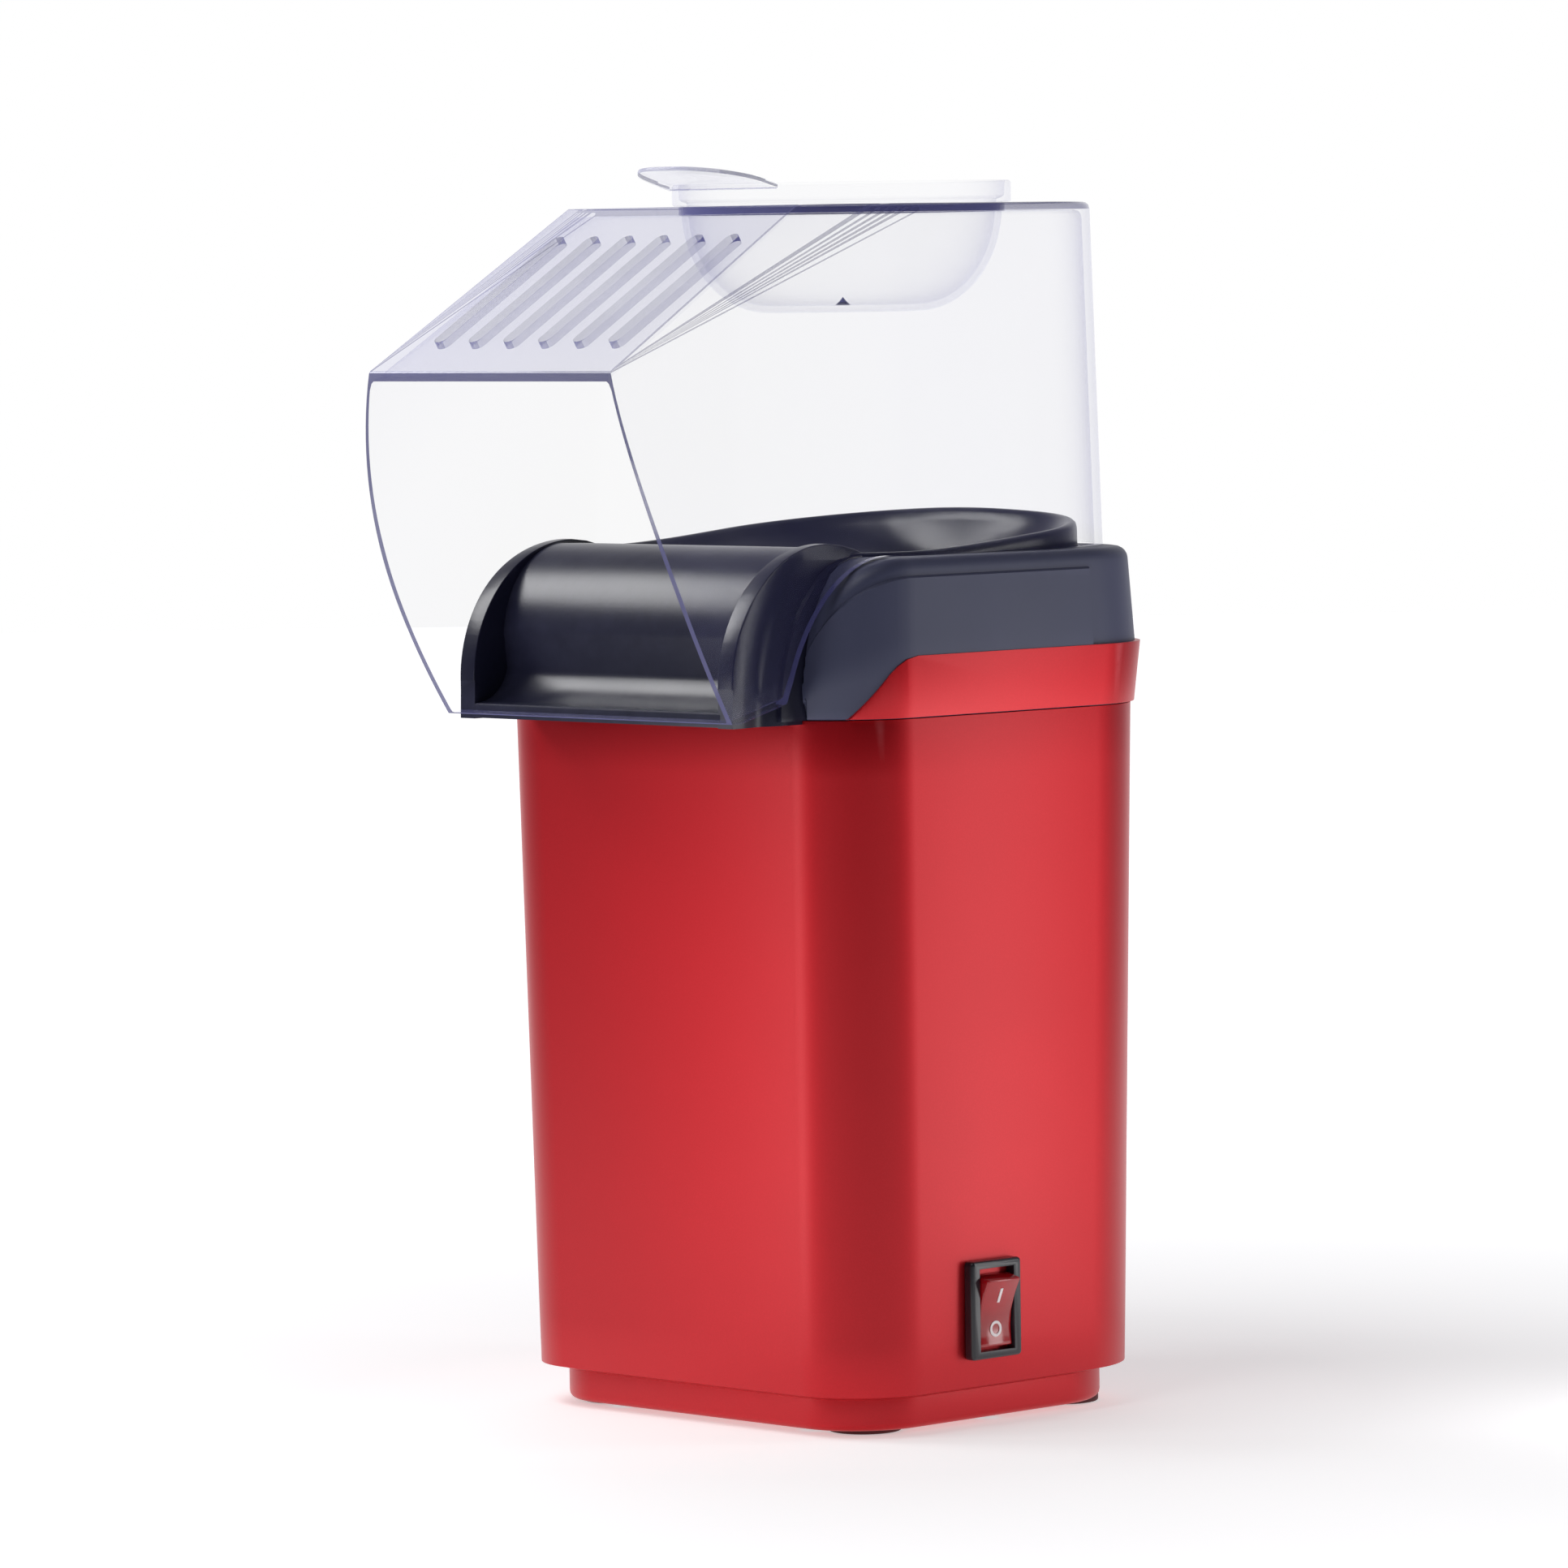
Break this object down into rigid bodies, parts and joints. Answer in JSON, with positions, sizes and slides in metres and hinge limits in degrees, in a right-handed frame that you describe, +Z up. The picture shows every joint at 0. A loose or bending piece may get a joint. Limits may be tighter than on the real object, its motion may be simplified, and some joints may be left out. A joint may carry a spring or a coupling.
{
  "type": "hot-air popcorn maker",
  "caption": "Hot-air popcorn maker: tapered body on feet, black chute housing, lift-off clear cover with vents, measuring cup in its top, and blower, heater and popping chamber inside.",
  "frame": {"origin": "middle of the body's plan, on the plane that the feet stand on", "axes": "+Z up, -Y out of the chute (front), +X the side with the switch"},
  "size_m": [0.1218, 0.1542, 0.2748],
  "materials": {
    "red_metallic": "satin metallic red paint on moulded plastic",
    "black_plastic": "satin-gloss moulded, dark blue-grey black",
    "clear_plastic": "clear moulded plastic, polished",
    "rubber_foot": "matt dark red rubber",
    "steel_zinc": "bright zinc plated",
    "chamber_aluminium": "drawn and spun, satin",
    "shield_tinplate": "thin rolled sheet",
    "white_nylon": "glass-filled nylon, natural",
    "mica": "pressed mica sheet",
    "resistance_wire": "oxidised nickel-chrome wire",
    "fibre_seal": "woven ceramic fibre",
    "phenolic": "dark phenolic",
    "bush_bronze": "sintered bronze",
    "copper": "drawn copper",
    "carbon": "pressed carbon",
    "ferrite": "sintered ferrite",
    "board": "phenolic paper board",
    "fan_plastic": "moulded glass-filled nylon",
    "wire_dark": "soft insulation",
    "wire_red": "braided silicone insulation",
    "switch_black": "moulded, satin",
    "rocker_red": "translucent red, polished"
  },
  "bodies": {
    "base_unit": {"outer_body": "red_metallic", "base_cover": "red_metallic", "rubber_feet": "rubber_foot", "base_screws": "steel_zinc", "upper_housing": "black_plastic", "trim_band": "red_metallic", "housing_screws": "steel_zinc", "popping_chamber": "chamber_aluminium", "chamber_gasket": "fibre_seal", "heat_shield": "shield_tinplate", "air_duct": "white_nylon", "duct_screws": "steel_zinc", "heater_frame": "mica", "heater_coil": "resistance_wire", "thermostat": "phenolic", "thermal_fuse": "steel_zinc", "motor_can": "steel_zinc", "motor_end_cap": "white_nylon", "motor_magnets": "ferrite", "motor_bushes": "bush_bronze", "carbon_brushes": "carbon", "motor_screws": "steel_zinc", "rectifier_board": "board", "rectifier_diodes": "carbon", "terminal_block": "white_nylon", "supply_leads": "wire_dark", "heater_leads": "wire_red", "inlet_bushing": "black_plastic", "switch_body": "switch_black", "switch_contacts": "copper"},
    "rotor": {"motor_shaft": "steel_zinc", "armature": "copper", "commutator": "copper", "fan_wheel": "fan_plastic", "fan_nut": "steel_zinc"},
    "rocker": {"switch_rocker": "rocker_red"},
    "cover": {"hood": "clear_plastic"},
    "cup": {"measuring_cup": "clear_plastic"}
  },
  "joints": [
    {"name": "cover_lift", "type": "slide", "parent": "base_unit", "child": "cover", "axis": [0, 0, 1], "range_m": [0, 0.13]},
    {"name": "cup_lift", "type": "slide", "parent": "cover", "child": "cup", "axis": [0, 0, 1], "range_m": [0, 0.06]},
    {"name": "rocker_tilt", "type": "hinge", "parent": "base_unit", "child": "rocker", "pos_m": [0.0556, -0.0099, 0.026], "axis": [0, -1, 0], "range_deg": [0, 22]},
    {"name": "rotor_spin", "type": "hinge", "parent": "base_unit", "child": "rotor", "pos_m": [0, 0.003, 0.05], "axis": [0, 0, 1], "continuous": true}
  ]
}
